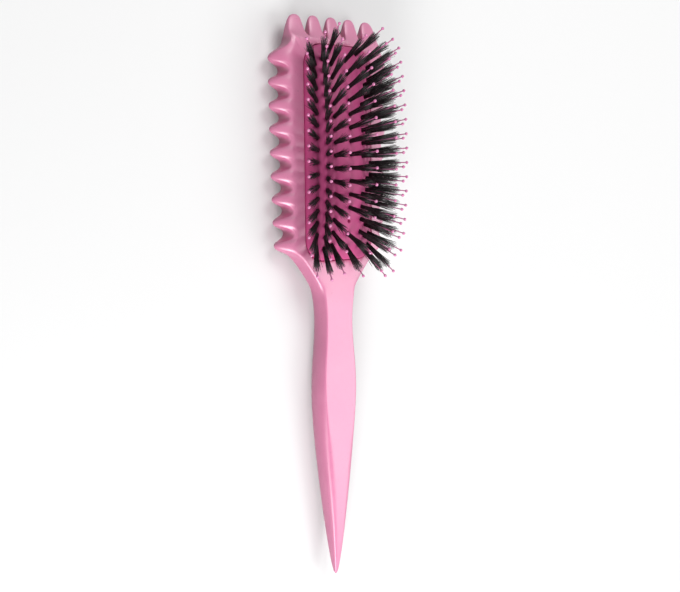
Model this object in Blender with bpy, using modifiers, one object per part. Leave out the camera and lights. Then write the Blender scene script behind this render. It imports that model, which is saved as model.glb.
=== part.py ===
"""A defining styling brush: one toothed body, an air cushion, and rows of bristle tufts and ball pins.

The brush lies on its back. X runs across the head, Y runs along it towards the top teeth, and Z
rises from the flat of the back to the bristles. The origin is on the flat back, at the middle of
the side teeth. Every length is in metres.
"""
import math
from collections import namedtuple

import bmesh
import bpy
from mathutils import Matrix, Vector

# Comb teeth round the head
TOOTH_PITCH = 0.0100
SIDE_TEETH = 9
TOP_TEETH = 5
SIDE_SPAN = TOOTH_PITCH * (SIDE_TEETH - 1) / 2
HEAD_HALF_WIDTH = 0.0327
HEAD_TAPER = 0.0017
NOTCH_DEPTH = 0.0064
SIDE_TIP_LENGTH = 0.0036
SIDE_ROOT_LENGTH = 0.0034
TOP_RISE = 0.0193
TOP_REACH = SIDE_SPAN + TOP_RISE
TOP_CROWN = 0.0004
TOP_NOTCH_DEPTH = 0.0083
TOP_TIP_LENGTH = 0.0054
TOP_FLANK_LENGTH = 0.0058
TOP_FLANK_RISE = 0.0038
CORNER_TOOTH_SPREAD = 0.0011
CORNER_ROOT_INSET = 0.0017
CORNER_NOTCH_INSET = 0.0006
CORNER_NOTCH_RISE = 0.0053
CORNER_ROOT_DROP = 0.0020
TIP_THICKNESS = 0.0028
SIDE_TIP_HEIGHT = 0.0055
TOP_TIP_HEIGHT = 0.0078
# A soft corner of the cage lies outside the finished surface by this share of the notch depth
SOFTENING_SHARE = 0.08

# Head moulding: its wall line runs at the foot of the notches
WALL_HALF_WIDTH = HEAD_HALF_WIDTH - NOTCH_DEPTH
WALL_TOP = TOP_REACH - TOP_NOTCH_DEPTH
BODY_THICKNESS = 0.0125
WALL_FOOT = 0.0040
WALL_SHOULDER = 0.0015
BACK_EDGE_RISE = 0.0023
BACK_SLOPE_WIDTH = 0.0093
BACK_FLAT_HALF_WIDTH = WALL_HALF_WIDTH - BACK_SLOPE_WIDTH
BACK_FLAT_TOP = WALL_TOP - BACK_SLOPE_WIDTH
BACK_EDGE_INSET = 0.0004
TOOTH_FOOT_REACH = 0.0018
TOP_FOOT_REACH = 0.0029
FRONT_EDGE_INSET = 0.0006
CORNER_EDGE_INSET = 0.0022
RIM_INSET = 0.0022
TOP_RIM_INSET = 0.0013

# Cushion's outline, inside a rim
SIDE_RIM_WIDTH = 0.0077
TOP_RIM_WIDTH = 0.0045
NECK_RIM_WIDTH = 0.0045
PAD_TAIL = 0.0070
PAD_HALF_WIDTH = WALL_HALF_WIDTH - SIDE_RIM_WIDTH
PAD_TOP = WALL_TOP - TOP_RIM_WIDTH
PAD_BOTTOM = SIDE_SPAN + PAD_TAIL
PAD_CORNER_RADIUS = 0.0090

# Handle
NECK_RIM_REACH = PAD_BOTTOM + NECK_RIM_WIDTH
BACK_FLAT_BOTTOM = NECK_RIM_REACH - BACK_SLOPE_WIDTH + FRONT_EDGE_INSET
NECK_RUN = 0.0085
NECK_JOIN_HALF_WIDTH = 0.0100
NECK_JOIN_REACH = NECK_RIM_REACH + NECK_RUN
HANDLE_LENGTH = 0.1332
BELLY_HALF_WIDTH = 0.0102
BELLY_THICKNESS = 0.0116
BELLY_CLEARANCE = 0.0008
HANDLE_TIP_HEIGHT = 0.0075
RIDGE_SOFT_FROM = 0.1180
RIDGE_SOFT_TO = 0.1450
RIDGE_CREASE_SHARE = 0.55
# Shares of the handle's length, the belly's half width and the belly's thickness, ring by ring
HANDLE_RING_SHARES = (
    (0.045, 0.83, 0.97), (0.10, 0.755, 0.94), (0.18, 0.80, 0.95), (0.26, 0.93, 0.99),
    (0.345, 1.00, 1.00), (0.435, 0.96, 1.00), (0.52, 0.86, 0.98), (0.61, 0.73, 0.94),
    (0.70, 0.585, 0.86), (0.79, 0.435, 0.73), (0.88, 0.29, 0.55), (0.955, 0.16, 0.33),
    (1.00, 0.055, 0.12),
)
# Shares of the way from the last side notch to the neck, across and along
SHOULDER_SHARES = ((0.10, 0.02), (0.37, 0.22), (0.67, 0.56))
# Corners of a handle ring, as shares of its half width and half thickness
FRONT_CORNER_SHARE = 0.88
BACK_CORNER_SHARE = 0.66
SIDE_HEIGHT_SHARE = 0.54
RING_SWELL_SHARE = 1.05

# Cushion and the well that holds it
CROWN_HEIGHT = 0.0088
CUSHION_WALL = 0.0026
SKIRT_WALL = 0.0020
WELL_FLOOR = 0.0050
FLANGE_REACH = 0.0011
FLANGE_HEIGHT = 0.0020
SEAT_GAP = 0.0003
VENT_RADIUS = 0.0007
VENT_SIDES = 8
CROWN_FACETS = 8
LENGTH_FACETS = 8
LINING_FACETS = 6
CORNER_FACETS = 4

# Rows of tufts and pins from the outer row to the centre row: place across as a share of the
# cushion's half width, tilt as a share of a right angle, tufts, and how far from the cushion's ends
ROW_PLACE_SHARES = (0.796, 0.599, 0.414, 0.0)
ROW_TILT_SHARES = (0.567, 0.378, 0.211, 0.0)
ROW_TUFT_COUNTS = (16, 17, 16, 15)
ROW_TOP_MARGINS = (0.0088, 0.0064, 0.0031, 0.0067)
ROW_BOTTOM_MARGINS = (0.0062, 0.0053, 0.0067, 0.0058)
# The centre row stops at the vent, after this many tufts from the handle
VENT_TUFT_COUNT = 2
FAN_CENTRE = -0.0044
FAN_RADIUS = 0.0780
FOOT_FAN_START = 0.0300
FOOT_FAN_LEAN = 0.76
FOOT_FAN_TILT_SHARE = 0.7
PIN_LENGTH = 0.0178
PIN_RADIUS = 0.00026
BALL_RADIUS = 0.0007
PIN_SIDES = 3
TUFT_LENGTH = 0.0135
STRAND_RADIUS = 0.00025
STRAND_TIP_RADIUS = 0.00020
STRAND_SIDES = 3
STRAND_SPREAD = 0.0007
FLARE_SHARE = 0.11
ROOT_DEPTH = 0.0002

# Strips that carry a row: the tufts' strip has a slot, and the pins' strip lies in it. Their
# widths are shares of the cushion's half width, as the room between two rows is
STRIP_HALF_WIDTH_SHARE = 0.0656
SLOT_HALF_WIDTH_SHARE = 0.0312
PIN_STRIP_HALF_WIDTH_SHARE = 0.0177
STRIP_HALF_WIDTH = PAD_HALF_WIDTH * STRIP_HALF_WIDTH_SHARE
SLOT_HALF_WIDTH = PAD_HALF_WIDTH * SLOT_HALF_WIDTH_SHARE
PIN_STRIP_HALF_WIDTH = PAD_HALF_WIDTH * PIN_STRIP_HALF_WIDTH_SHARE
STRIP_END = 0.0016
SLOT_END = 0.0009
PIN_STRIP_END = 0.0006
STRIP_SINK = 0.00025
STRIP_THICKNESS = 0.00085
PIN_STRIP_SINK = 0.00035
STRIP_GAP = 0.00025
# Tufts between two bends of a strip, and where along its row, from the middle, its tilt is taken
BEND_TUFT_COUNT = 3
TILT_PLACE_SHARE = 0.3

OVERRUN = 0.0040
MERGE_DISTANCE = 0.000001

BRUSH = "defining_styling_brush"
CUTTERS = "cutters"

Row = namedtuple("Row", "name x places pitch turn")


def clear_scene():
    """Remove every object that the file opens with."""
    for scene_object in list(bpy.data.objects):
        bpy.data.objects.remove(scene_object)


def new_collection(name):
    """Make a collection under the scene."""
    collection = bpy.data.collections.new(name)
    bpy.context.scene.collection.children.link(collection)
    return collection


def plastic(name, colour, roughness, metallic=0.0):
    """Make a Principled material."""
    material = bpy.data.materials.new(name)
    material.use_nodes = True
    shader = material.node_tree.nodes["Principled BSDF"]
    shader.inputs["Base Color"].default_value = (*colour, 1.0)
    shader.inputs["Roughness"].default_value = roughness
    shader.inputs["Metallic"].default_value = metallic
    material.diffuse_color = (*colour, 1.0)
    return material


def object_from(mesh_builder, name, collection, material=None):
    """Turn a finished bmesh into an object of a collection."""
    bmesh.ops.recalc_face_normals(mesh_builder, faces=mesh_builder.faces[:])
    mesh = bpy.data.meshes.new(name)
    mesh_builder.to_mesh(mesh)
    mesh_builder.free()
    if material:
        mesh.materials.append(material)
    made = bpy.data.objects.new(name, mesh)
    collection.objects.link(made)
    return made


def as_cutter(cutter):
    """Show a cutter as wire and keep it out of renders."""
    cutter.display_type = "WIRE"
    cutter.hide_render = True
    return cutter


def boolean(target, operation, other):
    """Add an exact Boolean to an object."""
    modifier = target.modifiers.new(operation.lower() + "_" + other.name, "BOOLEAN")
    modifier.operation = operation
    modifier.solver = "EXACT"
    modifier.object = other


def rounded_prism(name, collection, half_width, bottom, top, radius, low, high):
    """Make an upright block with four round corners: its ends lie at bottom and top in Y."""
    builder = bmesh.new()
    bmesh.ops.create_cube(builder, size=1.0)
    middle = Vector((0.0, (top + bottom) / 2, (low + high) / 2))
    size = (2 * half_width, top - bottom, high - low)
    bmesh.ops.transform(builder, matrix=Matrix.Translation(middle) @ Matrix.Diagonal((*size, 1.0)),
                        verts=builder.verts)
    upright = [edge for edge in builder.edges
               if abs(edge.verts[0].co.z - edge.verts[1].co.z) > abs(high - low) / 2]
    bmesh.ops.bevel(builder, geom=upright, offset=radius, offset_type="OFFSET",
                    segments=CORNER_FACETS, profile=0.5, affect="EDGES")
    return as_cutter(object_from(builder, name, collection))


# The toothed body

def tooth_stations():
    """List the cage's stations round the head, anticlockwise from the right shoulder.

    A station is the place of its wall, its kind, whether it belongs to a tooth, and the tooth's
    height there.
    """
    side_over = NOTCH_DEPTH * SOFTENING_SHARE
    top_over = TOP_NOTCH_DEPTH * SOFTENING_SHARE
    last = SIDE_TEETH - 1
    right = []
    for tooth in range(last, -1, -1):
        y = TOOTH_PITCH * (last / 2 - tooth)
        tip = HEAD_HALF_WIDTH - HEAD_TAPER * (tooth / last) ** 2 + side_over
        root = tip - NOTCH_DEPTH - 2 * side_over
        for shift in (-SIDE_TIP_LENGTH / 2, SIDE_TIP_LENGTH / 2):
            right.append((Vector((tip, y + shift)), "side", True, SIDE_TIP_HEIGHT))
        if tooth > 0:
            for shift in (-SIDE_ROOT_LENGTH / 2, SIDE_ROOT_LENGTH / 2):
                place = Vector((root, y + TOOTH_PITCH / 2 + shift))
                right.append((place, "side", False, SIDE_TIP_HEIGHT))
    corner = Vector((WALL_HALF_WIDTH - CORNER_NOTCH_INSET, SIDE_SPAN + CORNER_NOTCH_RISE))
    right.append((corner, "low corner", False, SIDE_TIP_HEIGHT))
    corner = Vector((WALL_HALF_WIDTH - CORNER_ROOT_INSET, WALL_TOP - CORNER_ROOT_DROP))
    right.append((corner, "high corner", False, TOP_TIP_HEIGHT))
    top = []
    for tooth in range(TOP_TEETH):
        x = TOOTH_PITCH * ((TOP_TEETH - 1) / 2 - tooth)
        drop = TOP_CROWN * (2 * x / (TOOTH_PITCH * (TOP_TEETH - 1))) ** 2
        tip = TOP_REACH - drop + top_over
        flank = WALL_TOP + TOP_FLANK_RISE
        outer = CORNER_TOOTH_SPREAD if tooth == 0 else 0.0
        inner = CORNER_TOOTH_SPREAD if tooth == TOP_TEETH - 1 else 0.0
        top.append((Vector((x + TOP_FLANK_LENGTH / 2 + outer, flank)), "top", True, TOP_TIP_HEIGHT))
        for shift in (TOP_TIP_LENGTH / 2, -TOP_TIP_LENGTH / 2):
            top.append((Vector((x + shift, tip)), "top", True, TOP_TIP_HEIGHT))
        top.append((Vector((x - TOP_FLANK_LENGTH / 2 - inner, flank)), "top", True, TOP_TIP_HEIGHT))
        if tooth < TOP_TEETH - 1:
            gap = Vector((x - TOOTH_PITCH / 2, WALL_TOP - top_over))
            top.append((gap, "top", False, TOP_TIP_HEIGHT))
    left = [(Vector((-place.x, place.y)), kind, is_tip, height)
            for place, kind, is_tip, height in reversed(right)]
    return right + top + left


def shoulder_stations():
    """List the plain stations between the last side tooth and the neck, on the right."""
    start = Vector((WALL_HALF_WIDTH - HEAD_TAPER, -SIDE_SPAN - SIDE_TIP_LENGTH))
    end = Vector((NECK_JOIN_HALF_WIDTH, -NECK_JOIN_REACH))
    return [Vector((start.x + (end.x - start.x) * across, start.y + (end.y - start.y) * along))
            for across, along in SHOULDER_SHARES]


def head_rings():
    """Work out six rings of points, from the flat back out over the teeth to the front rim."""
    side_over = NOTCH_DEPTH * SOFTENING_SHARE
    root_width = WALL_HALF_WIDTH - HEAD_TAPER / 2 - side_over
    top_root = WALL_TOP - TOP_NOTCH_DEPTH * SOFTENING_SHARE
    shoulders = shoulder_stations()
    tooth_end = -SIDE_SPAN
    rings = [[] for _ in range(6)]

    def add(wall, back_edge, front_edge, flat, rim, low, high):
        points = ((flat, 0.0), (back_edge, BACK_EDGE_RISE), (wall, low), (wall, high),
                  (front_edge, BODY_THICKNESS), (rim, BODY_THICKNESS))
        for ring, (place, height) in zip(rings, points):
            ring.append(Vector((place.x, place.y, height)))

    def add_shoulder(place):
        share = (place.y - tooth_end) / (-NECK_JOIN_REACH - tooth_end)
        inward = Vector((-math.copysign(1.0, place.x), 1.0)).normalized()
        flat_y = tooth_end + (-BACK_FLAT_BOTTOM - tooth_end) * share
        flat = Vector((place.x * BACK_FLAT_HALF_WIDTH / root_width, flat_y))
        rim_y = tooth_end + (-NECK_RIM_REACH - tooth_end) * share
        rim_x = place.x - math.copysign(RIM_INSET, place.x)
        add(place, place + inward * BACK_EDGE_INSET, place + inward * FRONT_EDGE_INSET,
            flat, Vector((rim_x, rim_y)), WALL_FOOT, BODY_THICKNESS - WALL_SHOULDER)

    for place in reversed(shoulders):
        add_shoulder(place)
    for place, kind, is_tip, tip_height in tooth_stations():
        low = WALL_FOOT
        high = BODY_THICKNESS - WALL_SHOULDER
        if is_tip:
            low = tip_height - TIP_THICKNESS / 2
            high = tip_height + TIP_THICKNESS / 2
        side = math.copysign(1.0, place.x)
        if kind == "side":
            base = abs(place.x)
            if is_tip:
                base += TOOTH_FOOT_REACH - NOTCH_DEPTH - 2 * side_over
            flat = Vector((side * BACK_FLAT_HALF_WIDTH, place.y * BACK_FLAT_TOP / WALL_TOP))
            add(place, Vector((side * (base - BACK_EDGE_INSET), place.y)),
                Vector((side * (base - FRONT_EDGE_INSET), place.y)),
                flat, Vector((side * (root_width - RIM_INSET), place.y)), low, high)
        elif kind in ("low corner", "high corner"):
            high_corner = kind == "high corner"
            flat_y = BACK_FLAT_TOP if high_corner else place.y * BACK_FLAT_TOP / WALL_TOP
            rim_y = top_root - TOP_RIM_INSET if high_corner else place.y
            inward = Vector((-side, -1.0)).normalized()
            add(place, place + inward * CORNER_EDGE_INSET, place + inward * CORNER_EDGE_INSET,
                Vector((side * BACK_FLAT_HALF_WIDTH, flat_y)),
                Vector((side * (root_width - RIM_INSET), rim_y)), low, high)
        else:
            reach = TOP_FOOT_REACH if is_tip else 0.0
            span = TOOTH_PITCH * TOP_TEETH / 2
            flat = Vector((place.x * (BACK_FLAT_HALF_WIDTH - BACK_EDGE_RISE) / span, BACK_FLAT_TOP))
            rim_x = place.x * (root_width - RIM_INSET - FRONT_EDGE_INSET) / span
            add(place, Vector((place.x, top_root + reach - BACK_EDGE_INSET)),
                Vector((place.x, top_root + reach - FRONT_EDGE_INSET)),
                flat, Vector((rim_x, top_root - TOP_RIM_INSET)), low, high)
    for place in shoulders:
        add_shoulder(Vector((-place.x, place.y)))
    return rings


def handle_ring(y, half_width, thickness, centre):
    """Work out one ring of the handle: five points in front, two a side, five behind."""
    half = thickness / 2 * RING_SWELL_SHARE
    wide = half_width * RING_SWELL_SHARE
    front = [Vector((wide * FRONT_CORNER_SHARE * share, y, centre + half))
             for share in (-1.0, -0.5, 0.0, 0.5, 1.0)]
    right = [Vector((wide, y, centre + half * SIDE_HEIGHT_SHARE)),
             Vector((wide, y, centre - half * SIDE_HEIGHT_SHARE))]
    back = [Vector((wide * BACK_CORNER_SHARE * share, y, centre - half))
            for share in (1.0, 0.5, 0.0, -0.5, -1.0)]
    left = [Vector((-wide, y, centre - half * SIDE_HEIGHT_SHARE)),
            Vector((-wide, y, centre + half * SIDE_HEIGHT_SHARE))]
    return front + right + back + left


def handle_rings():
    """Work out the handle's rings from the neck to the pointed tip."""
    belly_centre = BELLY_CLEARANCE + BELLY_THICKNESS / 2
    rings = []
    for along, width_share, thickness_share in HANDLE_RING_SHARES:
        y = -NECK_JOIN_REACH - HANDLE_LENGTH * along
        centre = belly_centre + (HANDLE_TIP_HEIGHT - belly_centre) * along ** 3
        rings.append(handle_ring(y, BELLY_HALF_WIDTH * width_share,
                                 BELLY_THICKNESS * thickness_share, centre))
    return rings


def build_body(collection, cutters, material):
    """Loft the head and handle as one soft cage, subdivide it, and cut the cushion's well."""
    builder = bmesh.new()
    crease = builder.edges.layers.float.new("crease_edge")
    rings = head_rings()
    neck_centre = BELLY_CLEARANCE + BELLY_THICKNESS / 2
    neck = handle_ring(-NECK_JOIN_REACH, NECK_JOIN_HALF_WIDTH / RING_SWELL_SHARE,
                       BELLY_THICKNESS / RING_SWELL_SHARE, neck_centre)
    neck_verts = [builder.verts.new(point) for point in neck]
    head = [[builder.verts.new(point) for point in ring] for ring in rings]
    flat_y = -BACK_FLAT_BOTTOM
    rim_y = -NECK_RIM_REACH
    flat_row = [builder.verts.new((point.x, flat_y, 0.0)) for point in neck[7:12]]
    rim_row = [builder.verts.new((point.x, rim_y, BODY_THICKNESS)) for point in neck[0:5]]
    # The ring runs anticlockwise, so the neck's points follow the left shoulder
    front_row = neck_verts[0:5]
    back_row = list(reversed(neck_verts[7:12]))
    flat_row.reverse()
    left = (flat_row[0], back_row[0], neck_verts[12], neck_verts[13], front_row[0], rim_row[0])
    right = (flat_row[4], back_row[4], neck_verts[6], neck_verts[5], front_row[4], rim_row[4])
    stations = [right] + [tuple(ring[i] for ring in head) for i in range(len(head[0]))] + [left]
    for near, far in zip(stations, stations[1:]):
        for level in range(5):
            builder.faces.new((near[level], far[level], far[level + 1], near[level + 1]))
    for i in range(4):
        builder.faces.new((flat_row[i], flat_row[i + 1], back_row[i + 1], back_row[i]))
        builder.faces.new((front_row[i], front_row[i + 1], rim_row[i + 1], rim_row[i]))
    flat_loop = [station[0] for station in stations] + flat_row[1:4]
    rim_loop = [station[5] for station in stations] + rim_row[1:4]
    builder.faces.new(reversed(flat_loop))
    builder.faces.new(rim_loop)
    ridge = []
    previous = neck_verts
    for ring in handle_rings():
        current = [builder.verts.new(point) for point in ring]
        count = len(ring)
        for i in range(count):
            j = (i + 1) % count
            builder.faces.new((previous[i], current[i], current[j], previous[j]))
        ridge += [(previous[0], current[0]), (previous[4], current[4])]
        previous = current
    builder.faces.new(previous)
    builder.edges.ensure_lookup_table()
    for start, end in ridge:
        reach = -(start.co.y + end.co.y) / 2
        fade = (RIDGE_SOFT_TO - reach) / (RIDGE_SOFT_TO - RIDGE_SOFT_FROM)
        builder.edges.get((start, end))[crease] = RIDGE_CREASE_SHARE * max(0.0, min(1.0, fade))
    for start, end in zip(flat_loop, flat_loop[1:] + flat_loop[:1]):
        builder.edges.get((start, end))[crease] = 1.0
    body = object_from(builder, "brush_body", collection, material)
    soften = body.modifiers.new("soft_moulding", "SUBSURF")
    soften.levels = 1
    soften.render_levels = 1
    well = rounded_prism("well_cutter", cutters, PAD_HALF_WIDTH + SEAT_GAP,
                         -PAD_BOTTOM - SEAT_GAP, PAD_TOP + SEAT_GAP, PAD_CORNER_RADIUS + SEAT_GAP,
                         WELL_FLOOR + FLANGE_HEIGHT / 2, BODY_THICKNESS + OVERRUN)
    reach = FLANGE_REACH + SEAT_GAP
    undercut = rounded_prism("undercut_cutter", cutters, PAD_HALF_WIDTH + reach,
                             -PAD_BOTTOM - reach, PAD_TOP + reach, PAD_CORNER_RADIUS + reach,
                             WELL_FLOOR, WELL_FLOOR + FLANGE_HEIGHT + 2 * SEAT_GAP)
    boolean(body, "DIFFERENCE", well)
    boolean(body, "DIFFERENCE", undercut)
    body.data.shade_smooth()
    return body


# The cushion

def crown_radius():
    """Radius of the arc across the cushion that rises by the crown's height."""
    return (PAD_HALF_WIDTH ** 2 + CROWN_HEIGHT ** 2) / (2 * CROWN_HEIGHT)


def crown(x, y):
    """Height of the cushion's top: an arc across, and an ellipse along."""
    radius = crown_radius()
    inside = max(0.0, radius ** 2 - x ** 2)
    across = (math.sqrt(inside) - (radius - CROWN_HEIGHT)) / CROWN_HEIGHT
    middle = (PAD_TOP - PAD_BOTTOM) / 2
    half_length = (PAD_TOP + PAD_BOTTOM) / 2 + CUSHION_WALL / 2
    along = math.sqrt(max(0.0, 1.0 - ((y - middle) / half_length) ** 2))
    return BODY_THICKNESS + CROWN_HEIGHT * across * along


def crown_block(name, collection, facets, drop, floor, material=None):
    """Make a block whose top follows the crown at a drop below it; facets run across and along."""
    columns, lengths = facets
    builder = bmesh.new()
    half_width = PAD_HALF_WIDTH
    middle = (PAD_TOP - PAD_BOTTOM) / 2
    half_length = (PAD_TOP + PAD_BOTTOM) / 2 + CUSHION_WALL / 4
    half_turn = math.asin(half_width / crown_radius())
    lines = []
    for row in range(lengths + 1):
        y = middle - half_length * math.cos(math.pi * row / lengths)
        line = []
        for column in range(columns + 1):
            angle = half_turn * (2 * column / columns - 1)
            x = crown_radius() * math.sin(angle)
            line.append(builder.verts.new((x, y, crown(x, y) - drop)))
        lines.append(line)
    for near, far in zip(lines, lines[1:]):
        for i in range(columns):
            builder.faces.new((near[i], near[i + 1], far[i + 1], far[i]))
    border = [edge for edge in builder.edges if edge.is_boundary]
    skirt = bmesh.ops.extrude_edge_only(builder, edges=border)["geom"]
    foot = [item for item in skirt if isinstance(item, bmesh.types.BMVert)]
    for vert in foot:
        vert.co.z = floor
    bmesh.ops.holes_fill(builder, edges=[edge for edge in builder.edges if edge.is_boundary])
    return object_from(builder, name, collection, material)


def surface_normal(x, y):
    """Give the crown's normal at x and y."""
    step = PAD_HALF_WIDTH / 1000
    slope_x = (crown(x + step, y) - crown(x - step, y)) / (2 * step)
    slope_y = (crown(x, y + step) - crown(x, y - step)) / (2 * step)
    return Vector((-slope_x, -slope_y, 1.0)).normalized()


def row_frame(row):
    """Give the one normal and the one way across that all of a row's bars keep."""
    middle = (row.places[0] + row.places[-1]) / 2
    length = row.places[-1] - row.places[0]
    normal = surface_normal(row.x, middle + length * TILT_PLACE_SHARE)
    flat_normal = Vector((normal.x, 0.0, normal.z)).normalized()
    return flat_normal, Vector((flat_normal.z, 0.0, -flat_normal.x))


def bend_places(row):
    """List the places where a row's line bends, from one end of its strip to the other."""
    inner = [row.places[i] + row.pitch / 2
             for i in range(BEND_TUFT_COUNT - 1, len(row.places) - 1, BEND_TUFT_COUNT)]
    return [row.places[0] - STRIP_END, *inner, row.places[-1] + STRIP_END]


def row_point(row, y):
    """Give the point of a row's line at y: on the crown at its bends, and straight between them."""
    bends = bend_places(row)
    segment = sum(1 for bend in bends[1:-1] if bend < y)
    start, end = bends[segment:segment + 2]
    low, high = crown(row.x, start), crown(row.x, end)
    return Vector((row.x, y, low + (high - low) * (y - start) / (end - start)))


def row_bar(builder, row, reach, half_width, top, bottom):
    """Sweep a flat bar along a row's line and past its ends, between two heights from the line.

    All bars of a row follow the one line, so they lie at an even gap to each other.
    """
    normal, across = row_frame(row)
    rings = []
    for y in [row.places[0] - reach, *bend_places(row)[1:-1], row.places[-1] + reach]:
        point = row_point(row, y)
        corners = ((-half_width, bottom), (half_width, bottom), (half_width, top), (-half_width, top))
        rings.append([builder.verts.new(point + across * side + normal * height)
                      for side, height in corners])
    for near, far in zip(rings, rings[1:]):
        for i in range(4):
            j = (i + 1) % 4
            builder.faces.new((near[i], near[j], far[j], far[i]))
    builder.faces.new(reversed(rings[0]))
    builder.faces.new(rings[-1])


def build_vent(cutters):
    """Make the cutter of the air vent in the centre row."""
    y = row_places(-1)[VENT_TUFT_COUNT]
    point = Vector((0.0, y, crown(0.0, y)))
    normal = surface_normal(0.0, y)
    builder = bmesh.new()
    bmesh.ops.create_cone(builder, cap_ends=True, segments=VENT_SIDES, radius1=VENT_RADIUS,
                          radius2=VENT_RADIUS, depth=2 * OVERRUN, matrix=place_along(point, normal))
    return as_cutter(object_from(builder, "vent_cutter", cutters))


def build_cushion(collection, cutters, material):
    """Make the domed air cushion: a skirted skin with a foot, a groove for each row and a vent."""
    foot_level = WELL_FLOOR + SEAT_GAP
    cushion = crown_block("cushion_pad", collection, (CROWN_FACETS, LENGTH_FACETS), 0.0,
                          foot_level, material)
    outline = rounded_prism("pad_outline", cutters, PAD_HALF_WIDTH, -PAD_BOTTOM, PAD_TOP,
                            PAD_CORNER_RADIUS, foot_level - OVERRUN,
                            BODY_THICKNESS + CROWN_HEIGHT + OVERRUN)
    flange = rounded_prism("pad_flange", cutters, PAD_HALF_WIDTH + FLANGE_REACH,
                           -PAD_BOTTOM - FLANGE_REACH, PAD_TOP + FLANGE_REACH,
                           PAD_CORNER_RADIUS + FLANGE_REACH, foot_level, foot_level + FLANGE_HEIGHT)
    hollow = as_cutter(crown_block("air_space", cutters, (LINING_FACETS, LINING_FACETS),
                                   CUSHION_WALL, foot_level - OVERRUN))
    lining = rounded_prism("air_space_outline", cutters, PAD_HALF_WIDTH - SKIRT_WALL,
                           -PAD_BOTTOM + SKIRT_WALL, PAD_TOP - SKIRT_WALL,
                           PAD_CORNER_RADIUS - SKIRT_WALL, foot_level - OVERRUN / 2,
                           BODY_THICKNESS + CROWN_HEIGHT + OVERRUN)
    boolean(hollow, "INTERSECT", lining)
    grooves = bmesh.new()
    for row in list_rows():
        row_bar(grooves, row, STRIP_END + STRIP_GAP, STRIP_HALF_WIDTH + STRIP_GAP,
                OVERRUN / 2, -STRIP_SINK - STRIP_THICKNESS - STRIP_GAP)
    channel = as_cutter(object_from(grooves, "row_grooves", cutters))
    boolean(cushion, "INTERSECT", outline)
    boolean(cushion, "UNION", flange)
    boolean(cushion, "DIFFERENCE", hollow)
    boolean(cushion, "DIFFERENCE", channel)
    boolean(cushion, "DIFFERENCE", build_vent(cutters))
    cushion.data.shade_smooth()
    return cushion


# Rows of bristle tufts and pins

def row_places(kind):
    """List the places of a row's tufts along the cushion, from the handle up."""
    start = ROW_BOTTOM_MARGINS[kind] - PAD_BOTTOM
    end = PAD_TOP - ROW_TOP_MARGINS[kind]
    steps = ROW_TUFT_COUNTS[kind] - 1
    return [start + (end - start) * i / steps for i in range(steps + 1)]


def list_rows():
    """List the rows from left to right; the centre row stops short of the vent on both sides."""
    rows = []
    centre = len(ROW_TUFT_COUNTS) - 1
    for index in range(2 * centre + 1):
        kind = min(index, 2 * centre - index)
        side = -1 if index < centre else 1
        name = "row_%d" % (index + 1)
        x = side * PAD_HALF_WIDTH * ROW_PLACE_SHARES[kind]
        turn = side * math.pi / 2 * ROW_TILT_SHARES[kind]
        places = row_places(kind)
        pitch = places[1] - places[0]
        if kind == centre:
            rows.append(Row(name + "_tail", x, places[:VENT_TUFT_COUNT], pitch, turn))
            places = places[VENT_TUFT_COUNT + 1:]
        rows.append(Row(name, x, places, pitch, turn))
    return rows


def pointing_at(y, turn):
    """Give the way that a tuft at y points: it tilts with its row and fans out along the brush.

    Near the handle the fan opens faster, and the rows tilt less.
    """
    foot = max(0.0, (-FOOT_FAN_START - y) / (PAD_BOTTOM - FOOT_FAN_START)) ** 2
    lean = (y - FAN_CENTRE) / FAN_RADIUS - FOOT_FAN_LEAN * foot
    tilt = turn * (1 - FOOT_FAN_TILT_SHARE * foot)
    return Vector((math.sin(tilt) * math.cos(lean), math.sin(lean),
                   math.cos(tilt) * math.cos(lean)))


def tufts_of(row):
    """List the tufts of a row: root, normal, pointing direction, and the ways across and along."""
    tufts = []
    normal, across = row_frame(row)
    for y in row.places:
        root = row_point(row, y)
        tufts.append((root, normal, pointing_at(y, row.turn), across, normal.cross(across)))
    return tufts


def place_along(start, direction):
    """Give the matrix that turns +Z to a direction and moves the origin to a start."""
    return Matrix.Translation(start) @ direction.to_track_quat("Z", "Y").to_matrix().to_4x4()


def build_tuft_row(row, collection, cutters, material):
    """Make one row of bristle tufts on its slotted strip."""
    name = "bristle_" + row.name
    strip = bmesh.new()
    row_bar(strip, row, STRIP_END, STRIP_HALF_WIDTH, -STRIP_SINK, -STRIP_SINK - STRIP_THICKNESS)
    made = object_from(strip, name, collection, material)
    slot = bmesh.new()
    row_bar(slot, row, SLOT_END, SLOT_HALF_WIDTH, OVERRUN / 2,
            -STRIP_SINK - STRIP_THICKNESS - OVERRUN / 2)
    boolean(made, "DIFFERENCE", as_cutter(object_from(slot, name + "_slot", cutters)))
    strands = bmesh.new()
    rail = (SLOT_HALF_WIDTH + STRIP_HALF_WIDTH) / 2
    for index, (root, normal, pointing, across, along) in enumerate(tufts_of(row)):
        facing = 1 if index % 2 else -1
        offsets = ((rail * facing, 0.0), (-rail * facing, STRAND_SPREAD),
                   (-rail * facing, -STRAND_SPREAD))
        for sideways, lengthways in offsets:
            foot = root + across * sideways + along * lengthways - normal * STRIP_SINK
            spread = (across * sideways + along * lengthways).normalized()
            way = (pointing + spread * FLARE_SHARE).normalized()
            middle = foot + way * (TUFT_LENGTH - ROOT_DEPTH) / 2
            bmesh.ops.create_cone(strands, cap_ends=True, segments=STRAND_SIDES,
                                  radius1=STRAND_RADIUS, radius2=STRAND_TIP_RADIUS,
                                  depth=TUFT_LENGTH + ROOT_DEPTH, matrix=place_along(middle, way))
    boolean(made, "UNION", as_cutter(object_from(strands, name + "_strands", cutters)))
    return made


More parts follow.
